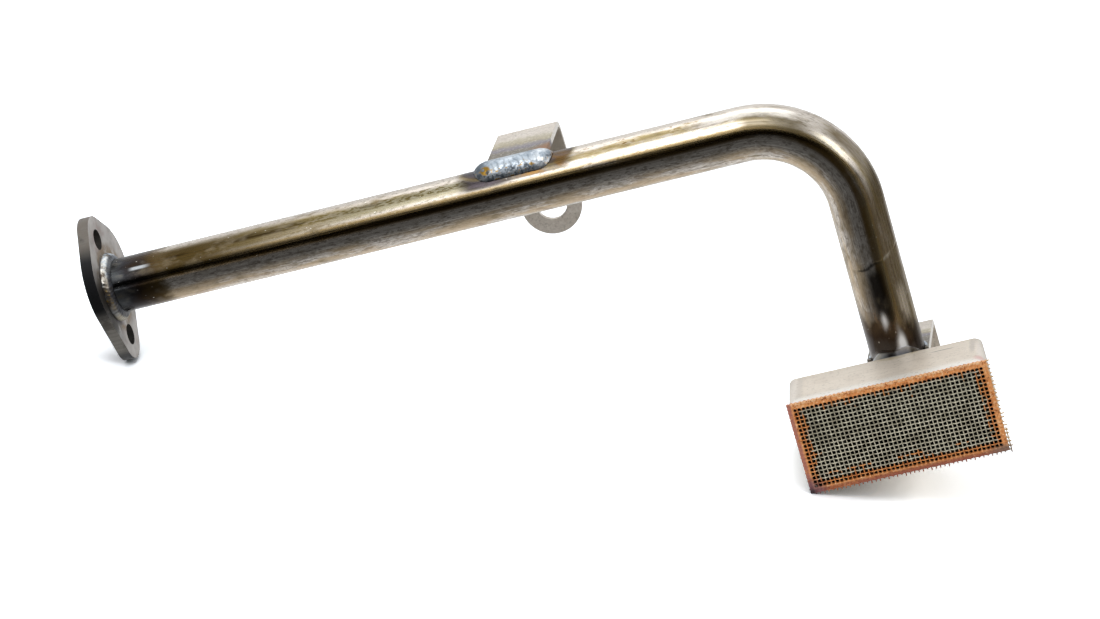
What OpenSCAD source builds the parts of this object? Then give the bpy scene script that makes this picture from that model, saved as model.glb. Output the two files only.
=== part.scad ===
// Oil pickup tube: a bent steel tube with a two-bolt pump flange at one end and a screened box at the other.
// The origin is the centre of the pump face. +X runs along the long leg, the short leg hangs along -Z,
// and the screen faces -Y.

/* [Tube] */
// Outside diameter of the tube
tube_d = 22.2; // [20:0.1:25]
// Wall thickness of the tube
tube_wall = 1.65; // [1.2:0.05:2.2]
// Distance from the pump face to the axis of the short leg
reach = 308.4; // [270:0.1:350]
// Radius of the bend, measured to the axis of the tube
bend_r = 37; // [33:0.5:42]
// How far the end of the tube sits back from the pump face
tube_inset = 0.8; // [0.2:0.1:1.5]

/* [Pump flange] */
// Thickness of the flange plate
flange_t = 4.8; // [4:0.1:7]
// Distance between the two bolt holes
bolt_spacing = 42.5; // [41:0.1:46]
// Diameter of each bolt hole
bolt_hole_d = 8.7; // [7:0.1:9.5]
// Radius of the lobe round each bolt hole
lobe_r = 10; // [8.5:0.1:12]
// Radius of the middle of the flange
flange_mid_r = 22.8; // [21:0.1:25]
// How far that middle sits behind the tube axis
flange_mid_y = 2.2; // [0:0.1:3]
// How far that middle sits above the tube axis
flange_mid_z = 3.5; // [0:0.1:4]
// Gap on the radius between the tube and its hole in the flange
tube_slip = 0.1; // [0.05:0.05:0.3]

/* [Stud brackets] */
// Width of the folded strip
strip_w = 25.4; // [24.5:0.1:30]
// Thickness of the folded strip
strip_t = 2.3; // [1.8:0.1:3]
// Inside radius of the fold
fold_r = 2.5; // [1.5:0.1:4]
// Distance from the tube axis back to the rear face of the stud tabs
tab_back = 44; // [38:0.5:50]
// Distance from the top of the fold down to the stud hole
tab_drop = 34.6; // [28:0.1:40]
// Diameter of the stud hole
stud_hole_d = 12.7; // [9:0.1:14]
// Distance from the pump face to the middle bracket
mid_bracket_x = 181.4; // [120:0.1:220]
// Height of the middle bracket's plate above the top of the tube
mid_plate_rise = 1.3; // [0.8:0.1:1.8]
// Distance from the tube axis back to the front edge of the middle bracket's plate
mid_plate_front = 0.5; // [0:0.1:2]
// Distance from the tube axis down to the top of the rear bracket's fold
rear_bracket_drop = 108; // [95:0.1:120]
// Upward tilt of the rear bracket's plate towards the screen
rear_plate_tilt = 6; // [0:0.5:9]
// How far the rear bracket's plate reaches in front of the tube axis
rear_plate_front = 3; // [0:0.1:5]
// Gap kept between the rear bracket and the weld on the box
rear_bracket_gap = 0.8; // [0.4:0.1:2]

/* [Pickup box] */
// Width of the box at its screen
box_w = 80; // [70:0.5:100]
// Height of the box
box_h = 38.4; // [36:0.1:48]
// Depth of the flat roof behind the screen frame
roof_depth = 27; // [20:0.5:36]
// Distance from the tube axis down to the roof of the box
box_drop = 100.3; // [85:0.1:120]
// Sideways shift of the box from the short leg
box_shift = -3.2; // [-8:0.1:8]
// Sheet thickness of the box
sheet_t = 1.5; // [1:0.1:2.2]
// Lean of the near side wall towards the pump, going back from the screen
near_wall_lean = 2.8; // [0:0.1:4]
// Lean of the far side wall towards the pump, going back from the screen
far_wall_lean = 4.4; // [0:0.1:6]
// Outside radius of the long corners
corner_r = 4.5; // [3:0.1:6]
// Outside radius of the folds across the box
box_fold_r = 2.2; // [1.2:0.1:3]
// Flat left on the shoulder in front of the tube and behind it
shoulder_land = 1.6; // [1.2:0.1:3]

/* [Screen] */
// Width of the brazed border round the screen
braze_w = 2.8; // [2.4:0.1:4]
// Thickness of the brazed border
braze_t = 1.5; // [1.3:0.1:2.5]
// Depth that the edge of the screen is buried in the braze
screen_grip = 1.2; // [0.6:0.1:1.6]
// Thickness of the screen between its wires
screen_t = 0.5; // [0.4:0.05:0.8]
// Diameter of the screen wires
wire_d = 0.9; // [0.6:0.05:1.2]
// Openings across the screen
openings_x = 15; // [10:1:15]
// Openings down the screen
openings_z = 8; // [5:1:8]
// Width of the bars between the openings
bar_w = 1.4; // [1:0.1:2]

/* [Welds] */
// Leg of the fillet weld at the flange
flange_weld_leg = 3.7; // [3:0.1:4.5]
// Length of the bead along the middle bracket
bracket_bead_l = 36; // [30:0.5:42]
// Shift of that bead towards the pump
bracket_bead_shift = 1.2; // [0:0.1:3]
// Radius of the rounded bead at the middle bracket
bracket_bead_r = 7.4; // [6.8:0.1:8]
// Depth of the middle of that bead under the top of the tube
bracket_bead_sink = 4.3; // [3.8:0.1:5]
// How far that bead lies in front of the tube axis
bracket_bead_front = 0.6; // [0:0.1:1.5]
// Leg of the fillet weld at the rear bracket
rear_weld_leg = 1.6; // [1.2:0.1:2.5]
// Leg of the weld between the tube and the box
box_weld_leg = 2.2; // [1.5:0.1:3]

/* [Hidden] */
$fn = 64;

steel = "#6b6258";
bare_sheet = "#bdb6ab";
weld_metal = "#8d9098";
copper_braze = "#b5652f";
wire_steel = "#8f8b7a";

tube_r = tube_d / 2;
bore_r = tube_r - tube_wall;
// Overrun of a cutter past the face that it cuts
past = 1;
// How far the straight sides of the flange run into its round parts
side_lap = 0.01;
// Flats along a fold of the strip
fold_steps = 12;
// Thickness of the end slices of the box
slice_t = 0.01;
// Least outside radius on the hollow of the box
hollow_fold_r = 0.3;

fold_out_r = fold_r + strip_t;
fold_y = tab_back - fold_out_r;
mid_fold_z = tube_r + mid_plate_rise - fold_out_r;
mid_plate_under = mid_fold_z + fold_r;
rear_fold_z = -rear_bracket_drop - fold_out_r;

// The middle bead ends just short of where the plate leaves the tube
bead_end_gap = 0.2;
bead_back = sqrt(pow(tube_r, 2) - pow(mid_plate_under, 2)) - bead_end_gap;

// The roof folds down at 45 degrees into a shoulder, which carries the mitred end of the tube
shoulder_front = -tube_r - shoulder_land;
box_back = tube_r + shoulder_land;
rim_y = shoulder_front - roof_depth;
roof_z = -box_drop;
floor_z = roof_z - box_h;
box_x = reach + box_shift;
shoulder_drop = box_back - shoulder_front;
mitre_z = roof_z + shoulder_front;

screen_mid_y = rim_y - braze_t / 2;
screen_w = box_w - 2 * braze_w;
screen_h = box_h - 2 * braze_w;
screen_mid_z = (roof_z + floor_z) / 2;
pitch_x = screen_w / openings_x;
pitch_z = screen_h / openings_z;

// Points at a polar angle on a circle
function on_circle(center, r, angle) = center + r * [cos(angle), sin(angle)];

// Points along an arc round the origin
function arc(r, from, to) =
    [for (i = [0 : fold_steps]) on_circle([0, 0], r, from + (to - from) * i / fold_steps)];

// Lays a drawing in the YZ plane and pulls it along +X
module pull_x(length) {
    rotate([90, 0, 90]) linear_extrude(length) children();
}

// Lays a drawing in the XZ plane and pulls it along -Y
module pull_back_y(length) {
    rotate([90, 0, 0]) linear_extrude(length) children();
}

// A round bar along the axis of the tube, from the flange, round the bend and down the short leg
module bent_bar(r, start, leg_end) {
    translate([start, 0, 0]) rotate([0, 90, 0]) cylinder(r = r, h = reach - bend_r - start);
    translate([reach - bend_r, 0, -bend_r]) rotate([90, 0, 0])
        rotate_extrude(angle = 90) translate([bend_r, 0]) circle(r);
    translate([reach, 0, leg_end]) cylinder(r = r, h = -bend_r - leg_end);
}

// Everything under the slope of the shoulder, moved out along its normal by a distance
module under_shoulder(rise = 0) {
    span = 4 * tube_d;
    translate([reach, shoulder_front, roof_z]) rotate([-45, 0, 0])
        translate([-span / 2, -span / 2, rise - span]) cube([span, 2 * span, span]);
}

// A round middle with a lobe above and below, joined by their tangents
module flange_outline() {
    middle = [flange_mid_y, flange_mid_z];
    translate(middle) circle(flange_mid_r);
    for (side = [-1, 1]) {
        bolt = [0, side * bolt_spacing / 2];
        way = bolt - middle;
        heading = atan2(way[1], way[0]);
        spread = acos((flange_mid_r - lobe_r) / norm(way));
        translate(bolt) circle(lobe_r);
        polygon([
            on_circle(middle, flange_mid_r - side_lap, heading - spread),
            on_circle(bolt, lobe_r - side_lap, heading - spread),
            on_circle(bolt, lobe_r - side_lap, heading + spread),
            on_circle(middle, flange_mid_r - side_lap, heading + spread)
        ]);
    }
}

module flange() {
    color(steel) difference() {
        pull_x(flange_t) flange_outline();
        translate([-past, 0, 0]) rotate([0, 90, 0]) cylinder(r = tube_r + tube_slip, h = flange_t + 2 * past);
        for (side = [-1, 1]) translate([-past, 0, side * bolt_spacing / 2]) rotate([0, 90, 0])
            cylinder(d = bolt_hole_d, h = flange_t + 2 * past);
    }
}

module pickup_tube() {
    leg_end = mitre_z - 2 * tube_d;
    color(steel) difference() {
        bent_bar(tube_r, tube_inset, leg_end);
        bent_bar(bore_r, tube_inset - past, leg_end - past);
        under_shoulder();
    }
}

module flange_weld() {
    color(weld_metal) translate([flange_t, 0, 0]) rotate([0, 90, 0]) rotate_extrude()
        translate([tube_r, 0]) intersection() {
            circle(flange_weld_leg);
            square(flange_weld_leg);
        }
}

// A strip folded to an L about the X axis: a plate towards -Y and a tab with a stud hole towards -Z
module folded_strip(plate_l, tilt) {
    hole_z = fold_out_r - tab_drop;
    turn = 90 - tilt;
    along_plate = plate_l * [-cos(tilt), sin(tilt)];
    difference() {
        union() {
            translate([-strip_w / 2, 0, 0]) pull_x(strip_w) polygon(concat(
                [[fold_out_r, hole_z]],
                arc(fold_out_r, 0, turn),
                [on_circle(along_plate, fold_out_r, turn), on_circle(along_plate, fold_r, turn)],
                arc(fold_r, turn, 0),
                [[fold_r, hole_z]]
            ));
            translate([0, fold_out_r, hole_z]) rotate([90, 0, 0]) cylinder(d = strip_w, h = strip_t);
        }
        translate([0, fold_out_r + past, hole_z]) rotate([90, 0, 0])
            cylinder(d = stud_hole_d, h = strip_t + 2 * past);
    }
}

module middle_bracket() {
    color(bare_sheet) difference() {
        translate([mid_bracket_x, fold_y, mid_fold_z]) folded_strip(fold_y - mid_plate_front, 0);
        translate([mid_bracket_x - strip_w, 0, 0]) rotate([0, 90, 0]) cylinder(r = tube_r, h = 2 * strip_w);
    }
}

module middle_bracket_weld() {
    bar_l = bracket_bead_l - 2 * bracket_bead_r;
    color(weld_metal) translate([mid_bracket_x, 0, 0]) difference() {
        translate([-bar_l / 2 - bracket_bead_shift, -bracket_bead_front, tube_r - bracket_bead_sink])
        rotate([0, 90, 0]) {
            cylinder(r = bracket_bead_r, h = bar_l);
            sphere(bracket_bead_r);
            translate([0, 0, bar_l]) sphere(bracket_bead_r);
        }
        translate([-bracket_bead_l, 0, 0]) rotate([0, 90, 0]) cylinder(r = tube_r, h = 2 * bracket_bead_l);
        translate([-strip_w / 2, mid_plate_front, mid_plate_under]) cube([strip_w, fold_y, strip_t]);
        translate([-bracket_bead_l, bead_back, -tube_r]) cube([2 * bracket_bead_l, tube_d, 2 * tube_d]);
    }
}

// The room that the box and its weld need under the rear bracket
module room_for_box() {
    gap = rear_bracket_gap;
    intersection() {
        under_shoulder(box_weld_leg + gap);
        translate([reach - strip_w, shoulder_front - gap, floor_z])
            cube([2 * strip_w, shoulder_drop + 2 * gap, 2 * box_h]);
    }
}

module rear_bracket() {
    plate_l = fold_y + rear_plate_front;
    color(bare_sheet) difference() {
        translate([reach, fold_y, rear_fold_z]) folded_strip(plate_l, rear_plate_tilt);
        room_for_box();
        translate([reach, 0, rear_fold_z - tube_r]) {
            cylinder(r = tube_r, h = 3 * tube_d);
            translate([-tube_r, -tube_d, 0]) cube([tube_d, tube_d, 3 * tube_d]);
        }
    }
}

module rear_bracket_weld() {
    top_z = rear_fold_z + fold_out_r + (fold_y - tube_r) * tan(rear_plate_tilt);
    color(weld_metal) difference() {
        translate([reach, 0, top_z]) rotate_extrude() translate([tube_r, 0]) circle(rear_weld_leg);
        translate([reach, 0, top_z - tube_d]) cylinder(r = tube_r, h = 2 * tube_d);
        translate([reach, fold_y, rear_fold_z]) rotate([-rear_plate_tilt, 0, 0])
            translate([-strip_w, -2 * tab_back, fold_out_r - tube_d])
                cube([2 * strip_w, 3 * tab_back, tube_d]);
        translate([reach - 2 * tube_d, -2 * tube_d, top_z - tube_d])
            cube([4 * tube_d, 2 * tube_d, 2 * tube_d]);
        room_for_box();
    }
}

module rounded_rect(w, h, r) {
    offset(r, $fn = 32) square([w - 2 * r, h - 2 * r], center = true);
}

// A thin slice across the box, set in from its outside
module box_slice(inset, y) {
    near_x = box_x - box_w / 2 - (y - rim_y) * tan(near_wall_lean) + inset;
    far_x = box_x + box_w / 2 - (y - rim_y) * tan(far_wall_lean) - inset;
    translate([(near_x + far_x) / 2, y, screen_mid_z]) pull_back_y(slice_t)
        rounded_rect(far_x - near_x, box_h - 2 * inset, corner_r - inset);
}

// A leaning block with round long corners, set in from the outside of the box
module leaning_block(inset, y_from, y_to) {
    hull() {
        box_slice(inset, y_from + slice_t);
        box_slice(inset, y_to);
    }
}

// The side view of the box, set in from its outside: roof, shoulder, back, floor
module box_profile(inset, front) {
    corner = inset * tan(22.5);
    round_r = max(box_fold_r - inset, hollow_fold_r);
    offset(round_r, $fn = 32) offset(delta = -round_r) polygon([
        [front, roof_z - inset],
        [shoulder_front - corner, roof_z - inset],
        [box_back - inset, roof_z - shoulder_drop - corner],
        [box_back - inset, floor_z + inset],
        [front, floor_z + inset]
    ]);
}

module pickup_box() {
    front_past = rim_y - 3 * box_fold_r;
    color(bare_sheet) difference() {
        intersection() {
            leaning_block(0, rim_y, box_back + past);
            translate([box_x - box_w, 0, 0]) pull_x(2 * box_w) box_profile(0, front_past);
        }
        intersection() {
            leaning_block(sheet_t, rim_y - past, box_back + past);
            translate([box_x - box_w, 0, 0]) pull_x(2 * box_w) box_profile(sheet_t, front_past);
        }
        translate([reach, 0, mitre_z - bore_r - 3 * sheet_t]) cylinder(r = bore_r, h = 2 * tube_d);
    }
}

module box_weld() {
    color(weld_metal) difference() {
        intersection() {
            translate([reach, 0, mitre_z - 2 * tube_d]) cylinder(r = tube_r + box_weld_leg, h = 4 * tube_d);
            under_shoulder(box_weld_leg);
            translate([reach - tube_d, shoulder_front + box_fold_r * tan(22.5), mitre_z - 2 * tube_d])
                cube([2 * tube_d, shoulder_drop - 2 * box_fold_r * tan(22.5), 4 * tube_d]);
        }
        under_shoulder();
        translate([reach, 0, mitre_z - 2 * tube_d]) cylinder(r = tube_r, h = 4 * tube_d);
    }
}

module braze_frame() {
    color(copper_braze) translate([box_x, rim_y, screen_mid_z]) difference() {
        pull_back_y(braze_t) difference() {
            square([box_w, box_h], center = true);
            square([screen_w, screen_h], center = true);
        }
        translate([0, (screen_t - braze_t) / 2, 0]) pull_back_y(screen_t)
            square([screen_w + 2 * screen_grip, screen_h + 2 * screen_grip], center = true);
    }
}

module screen() {
    color(wire_steel) translate([box_x, screen_mid_y, screen_mid_z]) {
        translate([0, screen_t / 2, 0]) pull_back_y(screen_t) difference() {
            square([screen_w + 2 * screen_grip, screen_h + 2 * screen_grip], center = true);
            for (i = [0 : openings_x - 1], k = [0 : openings_z - 1])
                translate([(i + 0.5) * pitch_x - screen_w / 2, (k + 0.5) * pitch_z - screen_h / 2])
                    square([pitch_x - bar_w, pitch_z - bar_w], center = true);
        }
        for (i = [1 : openings_x - 1]) translate([i * pitch_x - screen_w / 2, -screen_t / 2, -screen_h / 2])
            cylinder(d = wire_d, h = screen_h);
        for (k = [1 : openings_z - 1]) translate([-screen_w / 2, screen_t / 2, k * pitch_z - screen_h / 2])
            rotate([0, 90, 0]) cylinder(d = wire_d, h = screen_w);
    }
}

flange();
pickup_tube();
flange_weld();
middle_bracket();
middle_bracket_weld();
rear_bracket();
rear_bracket_weld();
pickup_box();
box_weld();
braze_frame();
screen();
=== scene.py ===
import math

import bmesh
import bpy
import numpy as np
from mathutils import Matrix, Vector


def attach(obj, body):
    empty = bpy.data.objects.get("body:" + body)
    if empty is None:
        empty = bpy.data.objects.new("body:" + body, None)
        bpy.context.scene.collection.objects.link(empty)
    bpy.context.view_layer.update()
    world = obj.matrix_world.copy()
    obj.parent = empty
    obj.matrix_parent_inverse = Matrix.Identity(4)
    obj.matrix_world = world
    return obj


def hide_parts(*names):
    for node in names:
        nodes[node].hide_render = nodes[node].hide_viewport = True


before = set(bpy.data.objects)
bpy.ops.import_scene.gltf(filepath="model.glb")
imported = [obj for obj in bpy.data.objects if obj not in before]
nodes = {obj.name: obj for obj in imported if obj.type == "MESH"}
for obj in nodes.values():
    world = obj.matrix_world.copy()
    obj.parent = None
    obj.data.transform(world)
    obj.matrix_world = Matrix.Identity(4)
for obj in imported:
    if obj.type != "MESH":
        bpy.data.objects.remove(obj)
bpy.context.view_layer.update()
scene = bpy.context.scene
scene.view_settings.view_transform = "Standard"
mm = 0.001
print("frame loaded,", len(nodes), "nodes")

# sizes of the part that the looks have to follow, in millimetres
part = {
    "tubeR": 11.1, "reach": 308.4, "bendR": 37.0, "flangeT": 4.8, "boltZ": 21.25,
    "boxLeft": 265.2, "boxRight": 345.2, "boxTop": -100.3, "boxFloor": -138.7, "rimY": -39.7,
}
# short names for the node kinds and settings that come up most
calc, vectorCalc, mixer, spread = "ShaderNodeMath", "ShaderNodeVectorMath", "ShaderNodeMix", "ShaderNodeMapRange"
noise, mapping, separate, combine = (
    "ShaderNodeTexNoise", "ShaderNodeMapping", "ShaderNodeSeparateXYZ", "ShaderNodeCombineXYZ")
ramp, random, place = "ShaderNodeValToRGB", "FunctionNodeRandomValue", "GeometryNodeSetPosition"
paint, soft = {"data_type": "RGBA"}, {"interpolation_type": "SMOOTHSTEP"}


def linear(hexCode):
    # sRGB hex to the linear colour that the shaders work in
    channels = [int(hexCode[i:i + 2], 16) / 255 for i in (1, 3, 5)]
    return [c / 12.92 if c <= 0.04045 else ((c + 0.055) / 1.055) ** 2.4 for c in channels] + [1.0]


def addNode(tree, kind, settings, inputs):
    # one node with its settings and links; gives back its first live output
    node = tree.nodes.new(kind)
    settings = {"operation": settings} if isinstance(settings, str) else settings
    for name, value in settings.items():
        if name == "ramp":
            elements = node.color_ramp.elements
            for i, (position, hexCode) in enumerate(value):
                element = elements[i] if i < 2 else elements.new(position)
                element.position, element.color = position, linear(hexCode)
        else:
            setattr(node, name, value)
    for socket, value in inputs.items() if isinstance(inputs, dict) else enumerate(inputs):
        if isinstance(value, bpy.types.NodeSocket):
            tree.links.new(value, node.inputs[socket])
        else:
            node.inputs[socket].default_value = value
    live = [s for s in node.outputs if s.enabled and not s.is_unavailable]
    return live[0] if live else node


def emptyShader(holders, name):
    holder = holders.new(name)
    holder.use_nodes = True
    holder.node_tree.nodes.clear()
    return holder, holder.node_tree


def startMaterial(name, look, follow=None):
    # a principled shader, coordinates in millimetres, and noise patterns of given grain sizes
    material, tree = emptyShader(bpy.data.materials, name)
    shader = addNode(tree, "ShaderNodeBsdfPrincipled", {}, {}).node
    addNode(tree, "ShaderNodeOutputMaterial", {}, {"Surface": shader.outputs["BSDF"]})
    corner = addNode(tree, "ShaderNodeTexCoord", {}, {}).node.outputs["Object"]
    spot = addNode(tree, vectorCalc, "SCALE", {0: corner, "Scale": 1000.0})
    axes = addNode(tree, separate, {}, [spot]).node.outputs
    field = {"spot": spot, "x": axes["X"], "y": axes["Y"], "z": axes["Z"]}
    facing = addNode(tree, "ShaderNodeNewGeometry", {}, {}).node.outputs["True Normal"]
    field["facing"] = facing
    if follow:
        field.update(follow(tree, field))
    for label, middle in look.get("spots", {}).items():
        field[label] = addNode(tree, vectorCalc, "DISTANCE", [spot, middle])
    for i, (label, (grain, detail)) in enumerate(look["patterns"].items()):
        # each pattern starts elsewhere in the noise
        fitted = addNode(tree, mapping, {}, {"Vector": field.get("path", spot), "Location": (3.7 * i, 1.9 * i, 5.3 * i),
                                             "Scale": [1 / g for g in grain]})
        field[label] = addNode(tree, noise, {}, {"Vector": fitted, "Scale": 1.0, "Detail": detail, "Roughness": 0.6})
    return material, tree, shader, field


def finishMaterial(tree, shader, field, look, coats):
    # coats of colour over the base, each with a strength and the steps that mask it
    colour = linear(look["base"])
    for coat, strength, steps in coats:
        mask = None
        for value, low, high in steps:
            step = addNode(tree, spread, soft, [field.get(value, value), low, high, 0.0, 1.0])
            mask = addNode(tree, calc, "MULTIPLY", [mask, step]) if mask else step
        mask = addNode(tree, calc, "MULTIPLY", [mask, strength])
        colour = addNode(tree, mixer, paint, {0: mask, 6: colour, 7: linear(coat) if isinstance(coat, str) else coat})
    tree.links.new(colour, shader.inputs["Base Color"])
    shader.inputs["Metallic"].default_value = look["metallic"]
    label, low, high, smooth, rough = look["roughness"]
    tree.links.new(addNode(tree, spread, soft, [field[label], low, high, smooth, rough]), shader.inputs["Roughness"])
    normal = None
    if "round" in look:  # worn edges
        normal = addNode(tree, "ShaderNodeBevel", {"samples": 4}, {"Radius": look["round"] * mm})
    for height, depth, strength in look["bumps"]:
        inputs = {"Strength": strength, "Distance": depth * mm, "Height": field[height]}
        if normal:
            inputs["Normal"] = normal
        normal = addNode(tree, "ShaderNodeBump", {}, inputs)
    tree.links.new(normal, shader.inputs["Normal"])


# camera solved from the photo: place and axes in the part's own frame
cameraFit = {
    "place": (0.45653, -1.29345, 0.37756),
    "right": (0.95351, 0.11332, -0.27925),
    "up": (0.22454, 0.35089, 0.90910),
    "back": (0.20100, -0.92954, 0.30913),
    "sensor": 36.0, "lens": 112.54,
}


def placeCamera(fit):
    data = bpy.data.cameras.new("camera")
    data.sensor_width, data.lens = fit["sensor"], fit["lens"]
    camera = bpy.data.objects.new("camera", data)
    scene.collection.objects.link(camera)
    axes = Matrix((fit["right"], fit["up"], fit["back"])).transposed()
    camera.matrix_world = Matrix.Translation(fit["place"]) @ axes.to_4x4()
    scene.camera = camera


placeCamera(cameraFit)
print("camera placed")

# the part lies on its flange, the rear bracket's end and the box's lower edge, so the table slopes in its frame
stage = {
    "foot": -0.03125, "slope": -0.4056, "floorX": (-0.45, 0.95), "floorY": (-0.75, 1.1),
    # the table's own colour, and what is seen of it: overexposed in the open, darker close to a contact as a painted
    # contact shadow
    "floorColour": "#f2f1ef", "floorSeen": "#ebeff3", "overexposed": 2.3, "glossShare": 0.22,
    "contact": 0.017, "contactSamples": 12, "darkest": 0.3, "openFrom": 0.9,
    "ambient": 0.54, "whiteSeen": 1.0,
    "cardNear": (0.03, 0.12), "cardFar": -0.75, "cardLift": 0.001, "cardSteep": (-0.35, 2.4), "cardFade": 0.16,
    "frontX": (-1.0, 1.7), "frontZ": (-0.8, 0.60), "sideX": 1.05, "sideZ": (-0.6, -0.05), "sideBack": 1.3,
    # what the tube's front sees: white table below it, going grey, then black up to the lamp
    "tableCard": [(0.0, "#ffffff"), (0.2, "#d6d6d6"), (0.34, "#a4a4a4"), (0.5, "#818181"),
                  (0.7, "#636363"), (1.0, "#5b5b5b")],
    "frontCard": [(0.0, "#565656"), (0.3, "#3c3c3c"), (0.7, "#14110d"), (1.0, "#0d0b08")],
    "sideCard": [(0.0, "#7d786f"), (1.0, "#625d55")],
    "softboxes": {
        "key": {"place": (0.235, -0.42, 0.74), "aim": (0.235, 0.0, 0.0), "size": (0.53, 0.44), "power": 2.42},
        "back": {"place": (0.27, 0.52, 0.80), "aim": (0.25, 0.0, -0.03), "size": (0.85, 0.42), "power": 1.1},
        "side": {"place": (1.02, -0.45, 0.28), "aim": (0.31, 0.0, -0.03), "size": (0.26, 0.34), "power": 0.8},
    },
}


def tableHeight(x):
    return stage["foot"] + stage["slope"] * x


def stageSheet(name, corners, material):
    mesh = bpy.data.meshes.new(name)
    mesh.from_pydata(corners, [], [list(range(len(corners)))])
    mesh.materials.append(material)
    sheet = bpy.data.objects.new(name, mesh)
    scene.collection.objects.link(sheet)
    return sheet


def makeFloor():
    # white laminate table: matt, overexposed for what looks at it, and clear from below
    material, tree = emptyShader(bpy.data.materials, "white laminate table")
    rays = addNode(tree, "ShaderNodeLightPath", {}, {}).node.outputs
    seen = addNode(tree, calc, "MULTIPLY_ADD", [
        rays["Is Glossy Ray"], stage["glossShare"], rays["Is Camera Ray"]])
    plain = linear(stage["floorColour"])
    # painted contact shadow: an occlusion node darkens what is seen of the table near the part
    free = addNode(tree, "ShaderNodeAmbientOcclusion", {"samples": stage["contactSamples"]}, {
        "Distance": stage["contact"]}).node.outputs["AO"]
    level = addNode(tree, spread, {}, [free, 0.0, stage["openFrom"], stage["darkest"], stage["overexposed"]])
    bright = addNode(tree, vectorCalc, "SCALE", {0: linear(stage["floorSeen"])[:3], "Scale": level})
    matt = addNode(tree, "ShaderNodeBsdfDiffuse", {}, {
        "Color": addNode(tree, mixer, paint, {0: seen, 6: plain, 7: bright})})
    clear = addNode(tree, "ShaderNodeBsdfTransparent", {}, {})
    under = addNode(tree, "ShaderNodeNewGeometry", {}, {}).node.outputs["Backfacing"]
    shown = addNode(tree, "ShaderNodeMixShader", {}, [under, matt, clear])
    addNode(tree, "ShaderNodeOutputMaterial", {}, {"Surface": shown})
    (x0, x1), (y0, y1) = stage["floorX"], stage["floorY"]
    stageSheet("table", [(x0, y0, tableHeight(x0)), (x1, y0, tableHeight(x1)),
                         (x1, y1, tableHeight(x1)), (x0, y1, tableHeight(x0))], material)


def makeCards():
    # graduated grey cards in front and to the right, seen only in the part's reflections
    far, (near0, near1), (x0, x1) = stage["cardFar"], stage["cardNear"], stage["floorX"]
    z0, z1 = (tableHeight(x) + stage["cardLift"] for x in (x0, x1))
    (left, right), (low, top) = stage["frontX"], stage["frontZ"]
    side, back, (sideLow, sideTop) = stage["sideX"], stage["sideBack"], stage["sideZ"]
    cards = {
        "tableCard": [(x0, near0, z0), (x0, far, z0), (x1, far, z1), (x1, near1, z1)],
        "frontCard": [(left, far, low), (right, far, low), (right, far, top), (left, far, top)],
        "sideCard": [(side, far, sideLow), (side, back, sideLow), (side, back, sideTop), (side, far, sideTop)],
    }
    for name, corners in cards.items():
        material, tree = emptyShader(bpy.data.materials, "grey card, " + name)
        corner = addNode(tree, "ShaderNodeTexCoord", {}, {}).node.outputs["Object"]
        axes = addNode(tree, separate, {}, [corner]).node.outputs
        if name == "tableCard":  # by how steeply the tube looks down on it
            drop = addNode(tree, calc, "MULTIPLY_ADD", [axes["X"], -stage["slope"], -stage["foot"]])
            shade = addNode(tree, calc, "DIVIDE", [addNode(tree, calc, "MULTIPLY", [axes["Y"], -1.0]), drop])
            shade = addNode(tree, spread, {}, [shade, *stage["cardSteep"], 0.0, 1.0])
        else:
            shade = addNode(tree, spread, {}, [axes["Z"], 0.0, stage["cardFade"], 0.0, 1.0])
        grey = addNode(tree, ramp, {"ramp": stage[name]}, [shade])
        addNode(tree, "ShaderNodeOutputMaterial", {}, {
            "Surface": addNode(tree, "ShaderNodeEmission", {}, {"Color": grey, "Strength": 1.0})})
        card = stageSheet(name, corners, material)
        card.visible_camera = card.visible_diffuse = card.visible_shadow = False
        card.visible_transmission = card.visible_volume_scatter = False


def makeWorld():
    scene.world, tree = emptyShader(bpy.data.worlds, "studio")
    rays = addNode(tree, "ShaderNodeLightPath", {}, {}).node.outputs
    seen = addNode(tree, calc, "MAXIMUM", [
        rays["Is Camera Ray"], addNode(tree, calc, "MAXIMUM", [rays["Is Glossy Ray"], rays["Is Transmission Ray"]])])
    strength = addNode(tree, spread, {}, [seen, 0.0, 1.0, stage["ambient"], stage["whiteSeen"]])
    sky = addNode(tree, "ShaderNodeBackground", {}, {"Color": linear("#ffffff"), "Strength": strength})
    addNode(tree, "ShaderNodeOutputWorld", {}, {"Surface": sky})


def makeSoftboxes():
    for name, box in stage["softboxes"].items():
        data = bpy.data.lights.new(name + " softbox", "AREA")
        data.shape, data.energy = "RECTANGLE", box["power"]
        data.size, data.size_y = box["size"]
        lamp = bpy.data.objects.new(name + " softbox", data)
        scene.collection.objects.link(lamp)
        lamp.location = box["place"]
        lamp.rotation_euler = (Vector(box["aim"]) - Vector(box["place"])).to_track_quat("-Z", "Y").to_euler()


makeFloor()
makeCards()
makeWorld()
makeSoftboxes()
print("stage and lights made")

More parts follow.
